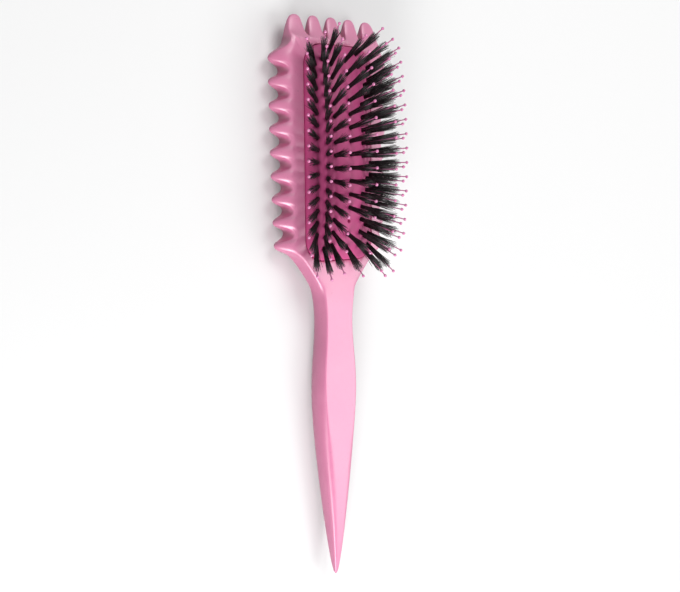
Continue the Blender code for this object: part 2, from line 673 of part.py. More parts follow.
def pin_profile():
    """Radius and height of a ball pin, from its root to its tip."""
    neck = PIN_LENGTH - 2 * BALL_RADIUS
    return ((PIN_RADIUS, -ROOT_DEPTH), (PIN_RADIUS, neck), (BALL_RADIUS, neck + BALL_RADIUS),
            (0.0, PIN_LENGTH))


def add_pin(builder, matrix):
    """Turn the pin's profile about its axis."""
    profile = [builder.verts.new(matrix @ Vector((radius, 0.0, height)))
               for radius, height in pin_profile()]
    edges = [builder.edges.new(pair) for pair in zip(profile, profile[1:])]
    axis = matrix.to_3x3() @ Vector((0.0, 0.0, 1.0))
    bmesh.ops.spin(builder, geom=profile + edges, cent=matrix.translation, axis=axis,
                   angle=2 * math.pi, steps=PIN_SIDES, use_merge=True)


def build_pin_row(row, collection, cutters, material):
    """Make one row of ball pins on the narrow strip that lies in the tufts' slot."""
    name = "pin_" + row.name
    strip = bmesh.new()
    row_bar(strip, row, PIN_STRIP_END, PIN_STRIP_HALF_WIDTH, -PIN_STRIP_SINK,
            -STRIP_SINK - STRIP_THICKNESS)
    made = object_from(strip, name, collection, material)
    pins = bmesh.new()
    for root, normal, pointing, _, _ in tufts_of(row):
        add_pin(pins, place_along(root - normal * PIN_STRIP_SINK, pointing))
    bmesh.ops.remove_doubles(pins, verts=pins.verts[:], dist=MERGE_DISTANCE)
    bmesh.ops.holes_fill(pins, edges=[edge for edge in pins.edges if edge.is_boundary])
    boolean(made, "UNION", as_cutter(object_from(pins, name + "_pins", cutters)))
    return made


def main():
    clear_scene()
    brush = new_collection(BRUSH)
    cutters = new_collection(CUTTERS)
    pink = plastic("body_pink", (0.76, 0.27, 0.45), 0.40)
    magenta = plastic("cushion_magenta", (0.60, 0.08, 0.27), 0.55)
    black = plastic("bristle_black", (0.02, 0.015, 0.018), 0.55)
    rose = plastic("pin_rose", (0.80, 0.24, 0.50), 0.22)
    build_body(brush, cutters, pink)
    build_cushion(brush, cutters, magenta)
    for row in list_rows():
        build_tuft_row(row, brush, cutters, black)
        build_pin_row(row, brush, cutters, rose)


main()
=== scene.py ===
"""The looks of the defining styling brush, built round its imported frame. Lengths are in metres."""
import math
import random

import bmesh
import bpy
from mathutils import Matrix, Vector


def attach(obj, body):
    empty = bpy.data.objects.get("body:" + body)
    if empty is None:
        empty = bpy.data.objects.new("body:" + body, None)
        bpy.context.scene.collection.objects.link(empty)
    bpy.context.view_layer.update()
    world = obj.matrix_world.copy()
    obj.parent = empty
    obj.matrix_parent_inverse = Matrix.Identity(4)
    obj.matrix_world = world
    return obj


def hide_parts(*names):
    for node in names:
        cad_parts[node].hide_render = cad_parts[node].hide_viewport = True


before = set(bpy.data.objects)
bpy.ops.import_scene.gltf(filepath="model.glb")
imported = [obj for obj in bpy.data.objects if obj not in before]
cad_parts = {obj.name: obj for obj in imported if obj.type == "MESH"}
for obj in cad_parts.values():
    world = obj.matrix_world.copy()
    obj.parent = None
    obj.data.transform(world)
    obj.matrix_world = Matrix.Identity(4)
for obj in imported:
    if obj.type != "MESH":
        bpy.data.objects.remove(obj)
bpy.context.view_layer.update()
BODY = "root"

# Comb teeth round the head
TOOTH_PITCH = 0.0100
SIDE_TEETH = 9
TOP_TEETH = 5
SIDE_SPAN = TOOTH_PITCH * (SIDE_TEETH - 1) / 2
HEAD_HALF_WIDTH = 0.0327
HEAD_TAPER = 0.0017
NOTCH_DEPTH = 0.0064
SIDE_TIP_LENGTH = 0.0036
SIDE_ROOT_LENGTH = 0.0034
TOP_RISE = 0.0193
TOP_REACH = SIDE_SPAN + TOP_RISE
TOP_CROWN = 0.0004
TOP_NOTCH_DEPTH = 0.0083
TOP_TOOTH_HALF_OUTLINE = ((0.0038, -0.0004), (0.0035, 0.0047), (0.0025, 0.0089))
TOP_GAP_SINK = 0.0020
CORNER_TOOTH_SPREAD = 0.0011
CORNER_ROOT_INSET = 0.0017
CORNER_NOTCH_INSET = 0.0006
CORNER_NOTCH_RISE = 0.0053
CORNER_ROOT_DROP = 0.0020
TIP_THICKNESS = 0.0028
SIDE_TIP_HEIGHT = 0.0055
TOP_TIP_HEIGHT = 0.0078
SOFTENING_SHARE = 0.08

# Head moulding
WALL_HALF_WIDTH = HEAD_HALF_WIDTH - NOTCH_DEPTH
WALL_TOP = TOP_REACH - TOP_NOTCH_DEPTH
BODY_THICKNESS = 0.0125
WALL_FOOT = 0.0040
WALL_SHOULDER = 0.0015
NOTCH_EDGE_DROP = 0.0005
NOTCH_EDGE_INSET = 0.0013
NOTCH_EDGE_SPREAD = 0.0008
NOTCH_FOOT_REACH = 0.0006
TOP_TOOTH_THICKNESS = 0.0014
TOP_ROOT_LOW = 0.0064
TOP_ROOT_HIGH = 0.0100
TOP_GAP_LOW = 0.0056
TOP_GAP_HIGH = 0.0108
TOP_BACK_INSET = 0.0022
TOP_SHELF_REACH = 0.0010
TOP_SHELF_HEIGHT = 0.0102
TOP_BELLY_REACH = 0.0006
TOP_BELLY_HEIGHT = 0.0056
NOTCH_CREASE_SHARE = 0.50
FLANK_CREASE_SHARE = 0.42
TOP_RIM_CREASE_SHARE = 0.50
SAME_PLACE = 1e-6
BACK_EDGE_RISE = 0.0023
BACK_SLOPE_WIDTH = 0.0093
BACK_FLAT_HALF_WIDTH = WALL_HALF_WIDTH - BACK_SLOPE_WIDTH
BACK_FLAT_TOP = WALL_TOP - BACK_SLOPE_WIDTH
BACK_EDGE_INSET = 0.0004
TOOTH_FOOT_REACH = 0.0018
FRONT_EDGE_INSET = 0.0006
CORNER_EDGE_INSET = 0.0022
RIM_INSET = 0.0022
TOP_RIM_INSET = 0.0013

# Cushion's outline, inside a rim
SIDE_RIM_WIDTH = 0.0077
TOP_RIM_WIDTH = 0.0045
NECK_RIM_WIDTH = 0.0045
PAD_TAIL = 0.0070
PAD_HALF_WIDTH = WALL_HALF_WIDTH - SIDE_RIM_WIDTH
PAD_TOP = WALL_TOP - TOP_RIM_WIDTH
PAD_BOTTOM = SIDE_SPAN + PAD_TAIL
PAD_CORNER_RADIUS = 0.0090
CROWN_HEIGHT = 0.0088
WELL_FLOOR = 0.0050
WELL_GAP = 0.0003
WELL_LIP_RADIUS = 0.0005
CORNER_STEPS = 16
LIP_STEPS = 5

# Handle
NECK_RIM_REACH = PAD_BOTTOM + NECK_RIM_WIDTH
BACK_FLAT_BOTTOM = NECK_RIM_REACH - BACK_SLOPE_WIDTH + FRONT_EDGE_INSET
NECK_RUN = 0.0085
NECK_JOIN_HALF_WIDTH = 0.0100
NECK_JOIN_REACH = NECK_RIM_REACH + NECK_RUN
HANDLE_LENGTH = 0.1332
BELLY_HALF_WIDTH = 0.0102
BELLY_THICKNESS = 0.0116
BELLY_CLEARANCE = 0.0008
HANDLE_TIP_HEIGHT = 0.0075
RIDGE_SOFT_FROM = 0.1180
RIDGE_SOFT_TO = 0.1450
RIDGE_CREASE_SHARE = 0.55
HANDLE_RING_SHARES = (
    (0.045, 0.83, 0.97), (0.10, 0.755, 0.94), (0.18, 0.80, 0.95), (0.26, 0.93, 0.99),
    (0.345, 1.00, 1.00), (0.435, 0.96, 1.00), (0.52, 0.86, 0.98), (0.61, 0.73, 0.94),
    (0.70, 0.585, 0.86), (0.79, 0.435, 0.73), (0.88, 0.29, 0.55), (0.955, 0.16, 0.33),
    (1.00, 0.055, 0.12),
)
SHOULDER_SHARES = ((0.10, 0.02), (0.37, 0.22), (0.67, 0.56))
FRONT_CORNER_SHARE = 0.88
FRONT_CORNER_FALL = 0.26
FRONT_NARROWS_FROM = 0.30
FRONT_NARROWS_TO = 0.70
SIDE_HEIGHT_GAIN = 0.9
BACK_CORNER_SHARE = 0.66
SIDE_HEIGHT_SHARE = 0.54
RING_SWELL_SHARE = 1.05
BODY_LEVELS = 3

# Cushion's skin
CUSHION_FOOT = 0.0055
SKIN_STEP = 0.0005
EDGE_ROLL = 0.0009
CREASE_DEPTH = 0.00030
CREASE_WIDTH = 0.0007
SOCKET_DEPTH = 0.0005
SOCKET_RADIUS = 0.0011
VENT_RADIUS = 0.0009
VENT_DEPTH = 0.0020
VENT_SIDES = 24
CREASE_WIDTHS_OUT = 3

# Rows of tufts and pins, from the outer row to the centre row
ROW_PLACE_SHARES = (0.796, 0.599, 0.414, 0.0)
ROW_TILT_SHARES = (0.567, 0.378, 0.211, 0.0)
ROW_TUFT_COUNTS = (16, 17, 16, 15)
ROW_TOP_MARGINS = (0.0088, 0.0064, 0.0031, 0.0067)
ROW_BOTTOM_MARGINS = (0.0062, 0.0053, 0.0067, 0.0058)
VENT_TUFT_COUNT = 2
FAN_CENTRE = -0.0044
FAN_RADIUS = 0.0780
FOOT_FAN_START = 0.0300
FOOT_FAN_LEAN = 0.76
FOOT_FAN_TILT_SHARE = 0.7
TUFT_LENGTH = 0.0138
TUFT_ROOT_RADIUS = 0.00085
TUFT_TIP_RADIUS = 0.00185
HAIRS_PER_TUFT = 46
HAIR_RADIUS = 0.00011
HAIR_SIDES = 4
HAIR_BURIAL = 0.0008
HAIR_STATION_SHARES = ((0.0, 1.0), (0.4, 1.0), (0.75, 0.9), (1.0, 0.5))
HAIR_TURN_SPREAD = 0.3
HAIR_LENGTH_SPREAD = (-0.07, 0.05)
OUTER_HAIR_LOSS = 0.10
HAIR_FLARE_SPREAD = (0.7, 1.35)
HAIR_STRAY = 0.00025
HAIR_RADIUS_SPREAD = (0.8, 1.15)
PIN_LENGTH = 0.0178
PIN_SINK = 0.00035
PIN_ROOT_RADIUS = 0.00032
PIN_NECK_RADIUS = 0.00024
BALL_RADIUS = 0.0007
PIN_SIDES = 12
BALL_RINGS = 7

# Camera, as the photograph was taken
CAMERA_PLACE = (-0.30274, -0.0156, 0.37822)
CAMERA_RIGHT = (0.7697, -0.0091, 0.6383)
CAMERA_DOWN = (-0.0709, -0.9949, 0.0713)
SENSOR_WIDTH = 36.0
FOCAL_LENGTH = 56.4
NEAR_CLIP = 0.01

# Floor, world and lamps; FLOOR_BOUNCE lights the brush, FLOOR_SEEN is what shows
BRUSH_MIDDLE = (0.0, -0.03, 0.0)
FLOOR_HALF_SIZE = 3.0
FLOOR_DROP = 0.0001
FLOOR_COLOUR = (0.90, 0.90, 0.90)
FLOOR_ROUGHNESS = 0.85
FLOOR_BOUNCE = (0.22, 0.22, 0.22)
FLOOR_SEEN = (0.92, 0.92, 0.92)
FLOOR_WHITE_SHARE = 0.15
FLOOR_LIT_REACH = 0.16
FLOOR_WHITE_REACH = 0.60
WORLD_STRENGTH = 0.10
LAMP_DISTANCE = 0.9
# Name, the way to it from the brush, its width and height, and its power
LAMPS = (
    ("low_left_panel", (-0.45, -0.80, 0.40), (0.50, 0.24), 7.0),
    ("right_strip", (0.62, -0.27, 0.75), (0.60, 0.50), 3.3),
    ("far_panel", (0.05, 0.60, 0.80), (0.60, 0.40), 3.8),
    ("low_strip", (0.10, -0.93, 0.34), (0.60, 0.18), 0.8),
)

# Colours of the pieces, plain and from darkest to lightest where they vary
PINK = (0.72, 0.195, 0.38)
PINK_CLOUDS = ((0.70, 0.180, 0.360), (0.74, 0.210, 0.395))
PINK_FLECK = (0.45, 0.09, 0.20)
FLECK_STRENGTH = 0.45
MAGENTA = (0.56, 0.065, 0.23)
MAGENTA_CLOUDS = ((0.54, 0.058, 0.215), (0.59, 0.074, 0.245))
BLACK = (0.014, 0.011, 0.012)
BLACK_CLOUDS = ((0.010, 0.008, 0.009), (0.045, 0.032, 0.034))
ROSE = (0.80, 0.24, 0.50)
ROSE_CLOUDS = ((0.76, 0.20, 0.46), (0.84, 0.30, 0.55))
GRAIN_DEPTH = 0.0001


def object_from(builder, name):
    """Turn a finished bmesh into a smooth object of the scene."""
    bmesh.ops.recalc_face_normals(builder, faces=builder.faces[:])
    mesh = bpy.data.meshes.new(name)
    builder.to_mesh(mesh)
    builder.free()
    mesh.shade_smooth()
    made = bpy.data.objects.new(name, mesh)
    bpy.context.scene.collection.objects.link(made)
    return made


def apply_modifiers(piece):
    """Replace a piece's mesh by what its modifiers make of it, and drop them."""
    graph = bpy.context.evaluated_depsgraph_get()
    mesh = bpy.data.meshes.new_from_object(piece.evaluated_get(graph))
    piece.modifiers.clear()
    piece.data = mesh


def cut_away(piece, cutter):
    """Cut a closed shape out of a piece."""
    modifier = piece.modifiers.new("cut", "BOOLEAN")
    modifier.operation = "DIFFERENCE"
    modifier.solver = "EXACT"
    modifier.object = cutter
    apply_modifiers(piece)
    bpy.data.objects.remove(cutter)


# The toothed body

def tooth_stations():
    """List the cage's stations round the head, anticlockwise from the right shoulder.

    A station is the place of its wall, its kind, whether it belongs to a tooth, and the tooth's
    height there.
    """
    side_over = NOTCH_DEPTH * SOFTENING_SHARE
    last = SIDE_TEETH - 1
    right = []
    for tooth in range(last, -1, -1):
        y = TOOTH_PITCH * (last / 2 - tooth)
        tip = HEAD_HALF_WIDTH - HEAD_TAPER * (tooth / last) ** 2 + side_over
        root = tip - NOTCH_DEPTH - 2 * side_over
        for shift in (-SIDE_TIP_LENGTH / 2, SIDE_TIP_LENGTH / 2):
            right.append((Vector((tip, y + shift)), "side", True, SIDE_TIP_HEIGHT))
        if tooth > 0:
            for shift in (-SIDE_ROOT_LENGTH / 2, SIDE_ROOT_LENGTH / 2):
                place = Vector((root, y + TOOTH_PITCH / 2 + shift))
                right.append((place, "side", False, SIDE_TIP_HEIGHT))
    corner = Vector((WALL_HALF_WIDTH - CORNER_NOTCH_INSET, SIDE_SPAN + CORNER_NOTCH_RISE))
    right.append((corner, "low corner", False, SIDE_TIP_HEIGHT))
    corner = Vector((WALL_HALF_WIDTH - CORNER_ROOT_INSET, WALL_TOP - CORNER_ROOT_DROP))
    right.append((corner, "high corner", False, TOP_TIP_HEIGHT))
    top = []
    for tooth in range(TOP_TEETH):
        x = TOOTH_PITCH * ((TOP_TEETH - 1) / 2 - tooth)
        drop = TOP_CROWN * (2 * x / (TOOTH_PITCH * (TOP_TEETH - 1))) ** 2
        outer = CORNER_TOOTH_SPREAD if tooth == 0 else 0.0
        inner = CORNER_TOOTH_SPREAD if tooth == TOP_TEETH - 1 else 0.0
        half = [(aside, WALL_TOP + rise) for aside, rise in TOP_TOOTH_HALF_OUTLINE]
        half[-1] = (half[-1][0], half[-1][1] - drop)
        for spread, way, points in ((outer, 1, half), (inner, -1, half[::-1])):
            for aside, y in points:
                kind = "top root" if y == half[0][1] else "top"
                reach = aside if (aside, y) == half[-1] else aside + spread
                top.append((Vector((x + way * reach, y)), kind, True, TOP_TIP_HEIGHT))
        if tooth < TOP_TEETH - 1:
            gap = Vector((x - TOOTH_PITCH / 2, WALL_TOP - TOP_GAP_SINK))
            top.append((gap, "top", False, TOP_TIP_HEIGHT))
    left = [(Vector((-place.x, place.y)), kind, is_tip, height)
            for place, kind, is_tip, height in reversed(right)]
    return right + top + left


def shoulder_stations():
    """List the plain stations between the last side tooth and the neck, on the right."""
    start = Vector((WALL_HALF_WIDTH - HEAD_TAPER, -SIDE_SPAN - SIDE_TIP_LENGTH))
    end = Vector((NECK_JOIN_HALF_WIDTH, -NECK_JOIN_REACH))
    return [Vector((start.x + (end.x - start.x) * across, start.y + (end.y - start.y) * along))
            for across, along in SHOULDER_SHARES]


def head_rings():
    """Work out six rings of points, from the flat back out over the teeth to the front rim."""
    side_over = NOTCH_DEPTH * SOFTENING_SHARE
    root_width = WALL_HALF_WIDTH - HEAD_TAPER / 2 - side_over
    top_root = WALL_TOP - TOP_NOTCH_DEPTH * SOFTENING_SHARE
    shoulders = shoulder_stations()
    tooth_end = -SIDE_SPAN
    rings = [[] for _ in range(6)]

    def add(wall, back_edge, front_edge, flat, rim, low, high, spread=0.0, foot=0.0,
            edge_heights=(BACK_EDGE_RISE, BODY_THICKNESS)):
        aside = Vector((0.0, spread))
        out = Vector((foot, 0.0))
        points = ((flat, 0.0), (back_edge + out, edge_heights[0]), (wall + out, low),
                  (wall + aside, high), (front_edge + aside, edge_heights[1]),
                  (rim, BODY_THICKNESS))
        for ring, (place, height) in zip(rings, points):
            ring.append(Vector((place.x, place.y, height)))

    def add_shoulder(place):
        share = (place.y - tooth_end) / (-NECK_JOIN_REACH - tooth_end)
        inward = Vector((-math.copysign(1.0, place.x), 1.0)).normalized()
        flat_y = tooth_end + (-BACK_FLAT_BOTTOM - tooth_end) * share
        flat = Vector((place.x * BACK_FLAT_HALF_WIDTH / root_width, flat_y))
        rim_y = tooth_end + (-NECK_RIM_REACH - tooth_end) * share
        rim_x = place.x - math.copysign(RIM_INSET, place.x)
        add(place, place + inward * BACK_EDGE_INSET, place + inward * FRONT_EDGE_INSET,
            flat, Vector((rim_x, rim_y)), WALL_FOOT, BODY_THICKNESS - WALL_SHOULDER)

    for place in reversed(shoulders):
        add_shoulder(place)
    for place, kind, is_tip, tip_height in tooth_stations():
        low = WALL_FOOT
        high = BODY_THICKNESS - NOTCH_EDGE_DROP
        inset = NOTCH_EDGE_INSET
        if is_tip:
            low = tip_height - TIP_THICKNESS / 2
            high = tip_height + TIP_THICKNESS / 2
            inset = FRONT_EDGE_INSET
        side = math.copysign(1.0, place.x)
        if kind == "side":
            past_middle = place.y / TOOTH_PITCH - math.floor(place.y / TOOTH_PITCH) - 0.5
            base = abs(place.x)
            if is_tip:
                base += TOOTH_FOOT_REACH - NOTCH_DEPTH - 2 * side_over
            flat = Vector((side * BACK_FLAT_HALF_WIDTH, place.y * BACK_FLAT_TOP / WALL_TOP))
            add(place, Vector((side * (base - BACK_EDGE_INSET), place.y)),
                Vector((side * (base - inset), place.y)),
                flat, Vector((side * (root_width - RIM_INSET), place.y)), low, high,
                0.0 if is_tip else math.copysign(NOTCH_EDGE_SPREAD, past_middle),
                0.0 if is_tip else side * NOTCH_FOOT_REACH)
        elif kind in ("low corner", "high corner"):
            high_corner = kind == "high corner"
            flat_y = BACK_FLAT_TOP if high_corner else place.y * BACK_FLAT_TOP / WALL_TOP
            rim_y = top_root - TOP_RIM_INSET if high_corner else place.y
            inward = Vector((-side, -1.0)).normalized()
            add(place, place + inward * CORNER_EDGE_INSET, place + inward * CORNER_EDGE_INSET,
                Vector((side * BACK_FLAT_HALF_WIDTH, flat_y)),
                Vector((side * (root_width - RIM_INSET), rim_y)), low, high)
        else:
            if is_tip:
                low = tip_height - TOP_TOOTH_THICKNESS / 2
                high = tip_height + TOP_TOOTH_THICKNESS / 2
                behind = top_root + TOP_BELLY_REACH
                front = top_root + TOP_SHELF_REACH
                heights = (TOP_BELLY_HEIGHT, TOP_SHELF_HEIGHT)
            else:
                low, high = TOP_GAP_LOW, TOP_GAP_HIGH
                behind = top_root - TOP_BACK_INSET
                front = top_root - inset
                heights = (BACK_EDGE_RISE, BODY_THICKNESS)
            if kind == "top root":
                low, high = TOP_ROOT_LOW, TOP_ROOT_HIGH
            span = TOOTH_PITCH * TOP_TEETH / 2
            flat = Vector((place.x * (BACK_FLAT_HALF_WIDTH - BACK_EDGE_RISE) / span, BACK_FLAT_TOP))
            rim_x = place.x * (root_width - RIM_INSET - FRONT_EDGE_INSET) / span
            add(place, Vector((place.x, behind)), Vector((place.x, front)),
                flat, Vector((rim_x, top_root - TOP_RIM_INSET)), low, high,
                edge_heights=heights)
    for place in shoulders:
        add_shoulder(Vector((-place.x, place.y)))
    return rings


def handle_ring(y, half_width, thickness, centre, corner_share=FRONT_CORNER_SHARE):
    """Work out one ring of the handle: five points in front, two a side, five behind."""
    half = thickness / 2 * RING_SWELL_SHARE
    wide = half_width * RING_SWELL_SHARE
    front = [Vector((wide * corner_share * share, y, centre + half))
             for share in (-1.0, -0.5, 0.0, 0.5, 1.0)]
    side_height = SIDE_HEIGHT_SHARE + SIDE_HEIGHT_GAIN * (FRONT_CORNER_SHARE - corner_share)
    right = [Vector((wide, y, centre + half * side_height)),
             Vector((wide, y, centre - half * SIDE_HEIGHT_SHARE))]
    back = [Vector((wide * BACK_CORNER_SHARE * share, y, centre - half))
            for share in (1.0, 0.5, 0.0, -0.5, -1.0)]
    left = [Vector((-wide, y, centre - half * SIDE_HEIGHT_SHARE)),
            Vector((-wide, y, centre + half * side_height))]
    return front + right + back + left


def handle_rings():
    """Work out the handle's rings from the neck to the pointed tip."""
    belly_centre = BELLY_CLEARANCE + BELLY_THICKNESS / 2
    rings = []
    for along, width_share, thickness_share in HANDLE_RING_SHARES:
        y = -NECK_JOIN_REACH - HANDLE_LENGTH * along
        centre = belly_centre + (HANDLE_TIP_HEIGHT - belly_centre) * along ** 3
        narrowing = (along - FRONT_NARROWS_FROM) / (FRONT_NARROWS_TO - FRONT_NARROWS_FROM)
        corner_share = FRONT_CORNER_SHARE - FRONT_CORNER_FALL * max(0.0, min(1.0, narrowing))
        rings.append(handle_ring(y, BELLY_HALF_WIDTH * width_share,
                                 BELLY_THICKNESS * thickness_share, centre, corner_share))
    return rings


def build_body():
    """Loft the head and handle as one soft cage, subdivide it finely, and cut the well."""
    builder = bmesh.new()
    crease = builder.edges.layers.float.new("crease_edge")
    rings = head_rings()
    neck_centre = BELLY_CLEARANCE + BELLY_THICKNESS / 2
    neck = handle_ring(-NECK_JOIN_REACH, NECK_JOIN_HALF_WIDTH / RING_SWELL_SHARE,
                       BELLY_THICKNESS / RING_SWELL_SHARE, neck_centre)
    neck_verts = [builder.verts.new(point) for point in neck]
    head = [[builder.verts.new(point) for point in ring] for ring in rings]
    flat_row = [builder.verts.new((point.x, -BACK_FLAT_BOTTOM, 0.0)) for point in neck[7:12]]
    rim_row = [builder.verts.new((point.x, -NECK_RIM_REACH, BODY_THICKNESS)) for point in neck[0:5]]
    front_row = neck_verts[0:5]
    back_row = list(reversed(neck_verts[7:12]))
    flat_row.reverse()
    left = (flat_row[0], back_row[0], neck_verts[12], neck_verts[13], front_row[0], rim_row[0])
    right = (flat_row[4], back_row[4], neck_verts[6], neck_verts[5], front_row[4], rim_row[4])
    stations = [right] + [tuple(ring[i] for ring in head) for i in range(len(head[0]))] + [left]
    for near, far in zip(stations, stations[1:]):
        for level in range(5):
            builder.faces.new((near[level], far[level], far[level + 1], near[level + 1]))
    for i in range(4):
        builder.faces.new((flat_row[i], flat_row[i + 1], back_row[i + 1], back_row[i]))
        builder.faces.new((front_row[i], front_row[i + 1], rim_row[i + 1], rim_row[i]))
    flat_loop = [station[0] for station in stations] + flat_row[1:4]
    rim_loop = [station[5] for station in stations] + rim_row[1:4]
    builder.faces.new(reversed(flat_loop))
    builder.faces.new(rim_loop)
    ridge = []
    previous = neck_verts
    for ring in handle_rings():
        current = [builder.verts.new(point) for point in ring]
        count = len(ring)
        for i in range(count):
            j = (i + 1) % count
            builder.faces.new((previous[i], current[i], current[j], previous[j]))
        ridge += [(previous[0], current[0]), (previous[4], current[4])]
        previous = current
    builder.faces.new(previous)
    builder.edges.ensure_lookup_table()
    for start, end in ridge:
        reach = -(start.co.y + end.co.y) / 2
        fade = (RIDGE_SOFT_TO - reach) / (RIDGE_SOFT_TO - RIDGE_SOFT_FROM)
        builder.edges.get((start, end))[crease] = RIDGE_CREASE_SHARE * max(0.0, min(1.0, fade))
    for start, end in zip(flat_loop, flat_loop[1:] + flat_loop[:1]):
        builder.edges.get((start, end))[crease] = 1.0
    notch_edges = (BODY_THICKNESS - NOTCH_EDGE_DROP, TOP_GAP_HIGH)
    for near, far in zip(stations, stations[1:]):
        roots = sum(any(abs(corner.co.z - edge) < SAME_PLACE for edge in notch_edges)
                    for corner in (near[3], far[3]))
        if roots:
            share = NOTCH_CREASE_SHARE if roots == 2 else FLANK_CREASE_SHARE
            builder.edges.get((near[3], far[3]))[crease] = share
        if min(near[5].co.y, far[5].co.y) > PAD_TOP:
            builder.edges.get((near[5], far[5]))[crease] = TOP_RIM_CREASE_SHARE
    body = object_from(builder, "toothed_body")
    soften = body.modifiers.new("soft_moulding", "SUBSURF")
    soften.levels = BODY_LEVELS
    soften.render_levels = BODY_LEVELS
    apply_modifiers(body)
    cut_away(body, well_cutter())
    return body


def rounded_outline(half_width, bottom, top, radius):
    """List the points of an upright rectangle with four round corners, anticlockwise."""
    side = half_width - radius
    low = bottom + radius
    high = top - radius
    corners = ((side, low, -90), (side, high, 0), (-side, high, 90), (-side, low, 180))
    points = []
    for x, y, start in corners:
        for step in range(CORNER_STEPS + 1):
            angle = math.radians(start + 90 * step / CORNER_STEPS)
            points.append((x + radius * math.cos(angle), y + radius * math.sin(angle)))
    return points


def well_cutter():
    """Make the shape of the well, flared at its mouth so that the body's lip comes out round."""
    levels = [(WELL_GAP, WELL_FLOOR), (WELL_GAP, BODY_THICKNESS - WELL_LIP_RADIUS)]
    for step in range(1, LIP_STEPS + 1):
        angle = math.pi / 2 * step / LIP_STEPS
        levels.append((WELL_GAP + WELL_LIP_RADIUS * (1 - math.cos(angle)),
                       BODY_THICKNESS - WELL_LIP_RADIUS * (1 - math.sin(angle))))
    levels.append((WELL_GAP + WELL_LIP_RADIUS, BODY_THICKNESS + CROWN_HEIGHT))
    builder = bmesh.new()
    rings = []
    for grow, z in levels:
        outline = rounded_outline(PAD_HALF_WIDTH + grow, -PAD_BOTTOM - grow, PAD_TOP + grow,
                                  PAD_CORNER_RADIUS + grow)
        rings.append([builder.verts.new((x, y, z)) for x, y in outline])
    for near, far in zip(rings, rings[1:]):
        for i in range(len(near)):
            j = (i + 1) % len(near)
            builder.faces.new((near[i], near[j], far[j], far[i]))
    builder.faces.new(reversed(rings[0]))
    builder.faces.new(rings[-1])
    return object_from(builder, "well_cutter")


# The cushion

def crown(x, y):
    """Height of the cushion's top: an arc across, and an ellipse along."""
    radius = (PAD_HALF_WIDTH ** 2 + CROWN_HEIGHT ** 2) / (2 * CROWN_HEIGHT)
    inside = max(0.0, radius ** 2 - x ** 2)
    across = (math.sqrt(inside) - (radius - CROWN_HEIGHT)) / CROWN_HEIGHT
    middle = (PAD_TOP - PAD_BOTTOM) / 2
    half_length = (PAD_TOP + PAD_BOTTOM) / 2 + EDGE_ROLL
    along = math.sqrt(max(0.0, 1.0 - ((y - middle) / half_length) ** 2))
    return BODY_THICKNESS + CROWN_HEIGHT * across * along


def edge_distance(x, y):
    """How far a point lies inside the cushion's outline."""
    middle = (PAD_TOP - PAD_BOTTOM) / 2
    half_length = (PAD_TOP + PAD_BOTTOM) / 2
    over_x = abs(x) - (PAD_HALF_WIDTH - PAD_CORNER_RADIUS)
    over_y = abs(y - middle) - (half_length - PAD_CORNER_RADIUS)
    outside = math.hypot(max(over_x, 0.0), max(over_y, 0.0)) + min(max(over_x, over_y), 0.0)
    return PAD_CORNER_RADIUS - outside


def row_places(kind):
    """List the places of a row's tufts along the cushion, from the handle up."""
    start = ROW_BOTTOM_MARGINS[kind] - PAD_BOTTOM
    end = PAD_TOP - ROW_TOP_MARGINS[kind]
    steps = ROW_TUFT_COUNTS[kind] - 1
    return [start + (end - start) * i / steps for i in range(steps + 1)]


def list_rows():
    """List the rows from left to right: name, place across, places along and tilt."""
    rows = []
    centre = len(ROW_TUFT_COUNTS) - 1
    for index in range(2 * centre + 1):
        kind = min(index, 2 * centre - index)
        side = -1 if index < centre else 1
        name = "row_%d" % (index + 1)
        x = side * PAD_HALF_WIDTH * ROW_PLACE_SHARES[kind]
        turn = side * math.pi / 2 * ROW_TILT_SHARES[kind]
        places = row_places(kind)
        if kind == centre:
            rows.append((name + "_tail", x, places[:VENT_TUFT_COUNT], turn))
            places = places[VENT_TUFT_COUNT + 1:]
        rows.append((name, x, places, turn))
    return rows


def skin_height(x, y, sockets):
    """Height of the cushion's skin: its crown, rolled edge, row creases and tuft sockets."""
    z = crown(x, y)
    inset = edge_distance(x, y)
    if inset < EDGE_ROLL:
        share = (EDGE_ROLL - max(0.0, inset)) / EDGE_ROLL
        z -= EDGE_ROLL * (1 - math.sqrt(max(0.0, 1 - share ** 2)))
    for row_x, places in sockets:
        across = (x - row_x) / CREASE_WIDTH
        if abs(across) > CREASE_WIDTHS_OUT:
            continue
        ends = max(0.0, places[0] - y, y - places[-1]) / TOOTH_PITCH
        z -= CREASE_DEPTH * math.exp(-across ** 2) * max(0.0, 1 - 2 * ends)
        near = min(places, key=lambda place: abs(place - y))
        squared = ((x - row_x) ** 2 + (y - near) ** 2) / SOCKET_RADIUS ** 2
        z -= SOCKET_DEPTH * math.exp(-squared ** 2)
    return z


